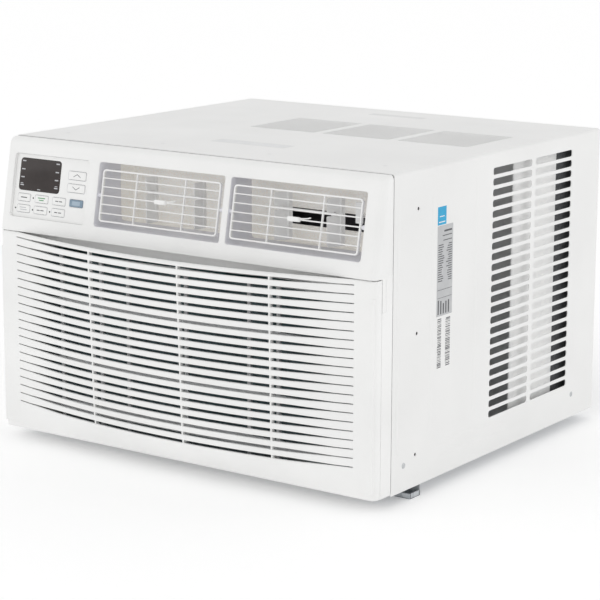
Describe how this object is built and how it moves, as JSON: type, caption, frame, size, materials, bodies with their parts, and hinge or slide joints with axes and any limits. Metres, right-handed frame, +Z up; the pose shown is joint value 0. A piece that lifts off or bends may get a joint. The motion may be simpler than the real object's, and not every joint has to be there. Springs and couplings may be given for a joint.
{
  "type": "window air conditioner",
  "caption": "Room air conditioner for a window: bowed slotted front, swinging outlets, steel cabinet, cooling chassis inside.",
  "frame": {"origin": "middle of the bounding box, on the surface that the sill channel and rear feet stand on", "axes": "+Z up, -Y towards the room, +X to the right for a person in the room who faces the unit"},
  "size_m": [0.66, 0.66, 0.451],
  "materials": {
    "white_plastic": "moulded, fine matte texture",
    "blue_grey_plastic": "moulded, satin",
    "grey_plastic": "moulded, satin",
    "display_lens": "smoked, glossy",
    "circuit_board": "solder resist",
    "galvanised_steel": "zinc coated, dull",
    "aluminium": "rolled, satin",
    "duct_foam": "moulded bead foam",
    "black_plastic": "moulded, satin",
    "black_steel": "black enamel",
    "copper": "drawn tube, dull",
    "white_steel": "powder coat, satin",
    "rubber": "moulded, matte"
  },
  "bodies": {
    "chassis": {"front_bezel": "white_plastic", "control_panel": "white_plastic", "display_lens": "display_lens", "control_board": "circuit_board", "control_box": "galvanised_steel", "run_capacitor": "aluminium", "discharge_duct": "duct_foam", "evaporator_coil": "aluminium", "evaporator_end_plate_left": "galvanised_steel", "evaporator_end_plate_right": "galvanised_steel", "drain_tray": "duct_foam", "blower_housing": "duct_foam", "orifice_ring": "black_plastic", "bulkhead": "galvanised_steel", "fan_motor": "black_steel", "motor_bracket": "galvanised_steel", "condenser_shroud": "galvanised_steel", "condenser_coil": "aluminium", "condenser_end_plate_left": "galvanised_steel", "condenser_end_plate_right": "galvanised_steel", "compressor": "black_steel", "compressor_grommet_1": "rubber", "compressor_grommet_2": "rubber", "compressor_grommet_3": "rubber", "terminal_cover": "black_plastic", "accumulator": "black_steel", "suction_tube": "copper", "discharge_tube": "copper", "liquid_tube": "copper", "cabinet_shell": "white_steel", "cord_grommet": "rubber", "base_pan": "galvanised_steel", "sill_channel": "galvanised_steel"},
    "grille": {"intake_grille": "white_plastic"},
    "filter": {"air_filter": "grey_plastic"},
    "rotor": {"fan_shaft": "aluminium", "blower_wheel": "black_plastic", "condenser_fan": "black_plastic"},
    "fresh_air_lever": {"fresh_air_lever": "white_plastic"},
    "fresh_air_door": {"fresh_air_door": "galvanised_steel"},
    "louver_left": {"louver_frame_left": "white_plastic"},
    "vane_left_1": {"vane_left_1": "white_plastic"},
    "vane_left_2": {"vane_left_2": "white_plastic"},
    "tie_bar_left": {"vane_tie_bar_left": "white_plastic"},
    "louver_right": {"louver_frame_right": "white_plastic"},
    "vane_right_1": {"vane_right_1": "white_plastic"},
    "vane_right_2": {"vane_right_2": "white_plastic"},
    "tie_bar_right": {"vane_tie_bar_right": "white_plastic"},
    "button_up": {"button_up": "white_plastic"},
    "button_down": {"button_down": "white_plastic"},
    "button_power": {"button_power": "blue_grey_plastic"},
    "button_mode": {"button_mode": "white_plastic"},
    "button_energy_saver": {"button_energy_saver": "white_plastic"},
    "button_fan_speed": {"button_fan_speed": "white_plastic"},
    "button_clean_reset": {"button_clean_reset": "white_plastic"},
    "button_sleep": {"button_sleep": "white_plastic"},
    "button_timer": {"button_timer": "white_plastic"}
  },
  "joints": [
    {"name": "grille_tilt", "type": "hinge", "parent": "chassis", "child": "grille", "pos_m": [0, -0.2693, 0.019], "axis": [1, 0, 0], "range_deg": [0, 50]},
    {"name": "filter_lift", "type": "slide", "parent": "grille", "child": "filter", "axis": [0, 0, 1], "range_m": [0, 0.176]},
    {"name": "louver_left_tilt", "type": "hinge", "parent": "chassis", "child": "louver_left", "pos_m": [-0.04, -0.26664, 0.38151], "axis": [1, 0, 0], "range_deg": [-15, 15]},
    {"name": "vane_left_1_turn", "type": "hinge", "parent": "chassis", "child": "vane_left_1", "pos_m": [-0.083, -0.225, 0.376], "axis": [0, 0, 1], "range_deg": [-35, 35]},
    {"name": "vane_left_2_turn", "type": "hinge", "parent": "chassis", "child": "vane_left_2", "pos_m": [0.003, -0.225, 0.376], "axis": [0, 0, 1], "range_deg": [-35, 35]},
    {"name": "tie_bar_left_swing", "type": "hinge", "parent": "vane_left_1", "child": "tie_bar_left", "pos_m": [-0.083, -0.237, 0.388], "axis": [0, 0, 1], "range_deg": [-35, 35]},
    {"name": "louver_right_tilt", "type": "hinge", "parent": "chassis", "child": "louver_right", "pos_m": [0.1918, -0.26664, 0.38151], "axis": [1, 0, 0], "range_deg": [-15, 15]},
    {"name": "vane_right_1_turn", "type": "hinge", "parent": "chassis", "child": "vane_right_1", "pos_m": [0.1488, -0.225, 0.376], "axis": [0, 0, 1], "range_deg": [-5, 65]},
    {"name": "vane_right_2_turn", "type": "hinge", "parent": "chassis", "child": "vane_right_2", "pos_m": [0.2348, -0.225, 0.376], "axis": [0, 0, 1], "range_deg": [-5, 65]},
    {"name": "tie_bar_right_swing", "type": "hinge", "parent": "vane_right_1", "child": "tie_bar_right", "pos_m": [0.1428, -0.23539, 0.388], "axis": [0, 0, 1], "range_deg": [-65, 5]},
    {"name": "button_up_press", "type": "slide", "parent": "chassis", "child": "button_up", "axis": [0, 0.9824, -0.1867], "range_m": [0, 0.0012], "stiffness_N_per_m": 1500},
    {"name": "button_down_press", "type": "slide", "parent": "chassis", "child": "button_down", "axis": [0, 0.9824, -0.1867], "range_m": [0, 0.0012], "stiffness_N_per_m": 1500},
    {"name": "button_power_press", "type": "slide", "parent": "chassis", "child": "button_power", "axis": [0, 0.9824, -0.1867], "range_m": [0, 0.0012], "stiffness_N_per_m": 1500},
    {"name": "button_mode_press", "type": "slide", "parent": "chassis", "child": "button_mode", "axis": [0, 0.9824, -0.1867], "range_m": [0, 0.0012], "stiffness_N_per_m": 1500},
    {"name": "button_energy_saver_press", "type": "slide", "parent": "chassis", "child": "button_energy_saver", "axis": [0, 0.9824, -0.1867], "range_m": [0, 0.0012], "stiffness_N_per_m": 1500},
    {"name": "button_fan_speed_press", "type": "slide", "parent": "chassis", "child": "button_fan_speed", "axis": [0, 0.9824, -0.1867], "range_m": [0, 0.0012], "stiffness_N_per_m": 1500},
    {"name": "button_clean_reset_press", "type": "slide", "parent": "chassis", "child": "button_clean_reset", "axis": [0, 0.9824, -0.1867], "range_m": [0, 0.0012], "stiffness_N_per_m": 1500},
    {"name": "button_sleep_press", "type": "slide", "parent": "chassis", "child": "button_sleep", "axis": [0, 0.9824, -0.1867], "range_m": [0, 0.0012], "stiffness_N_per_m": 1500},
    {"name": "button_timer_press", "type": "slide", "parent": "chassis", "child": "button_timer", "axis": [0, 0.9824, -0.1867], "range_m": [0, 0.0012], "stiffness_N_per_m": 1500},
    {"name": "fan_spin", "type": "hinge", "parent": "chassis", "child": "rotor", "pos_m": [0.06, 0.058, 0.216], "axis": [0, 1, 0], "continuous": true},
    {"name": "fresh_air_push", "type": "slide", "parent": "chassis", "child": "fresh_air_lever", "axis": [0, 1, 0], "range_m": [0, 0.014]},
    {"name": "fresh_air_door_swing", "type": "hinge", "parent": "chassis", "child": "fresh_air_door", "pos_m": [0.287, -0.0656, 0.412], "axis": [1, 0, 0], "range_deg": [0, 30.2]}
  ],
  "couplings": [
    {"joint": "filter_lift", "follows": "grille_tilt", "m_per_rad": 0.2},
    {"joint": "vane_left_2_turn", "follows": "vane_left_1_turn", "ratio": 1},
    {"joint": "tie_bar_left_swing", "follows": "vane_left_1_turn", "ratio": -1},
    {"joint": "vane_right_2_turn", "follows": "vane_right_1_turn", "ratio": 1},
    {"joint": "tie_bar_right_swing", "follows": "vane_right_1_turn", "ratio": -1},
    {"joint": "fresh_air_door_swing", "follows": "fresh_air_push", "rad_per_m": 37.4}
  ]
}
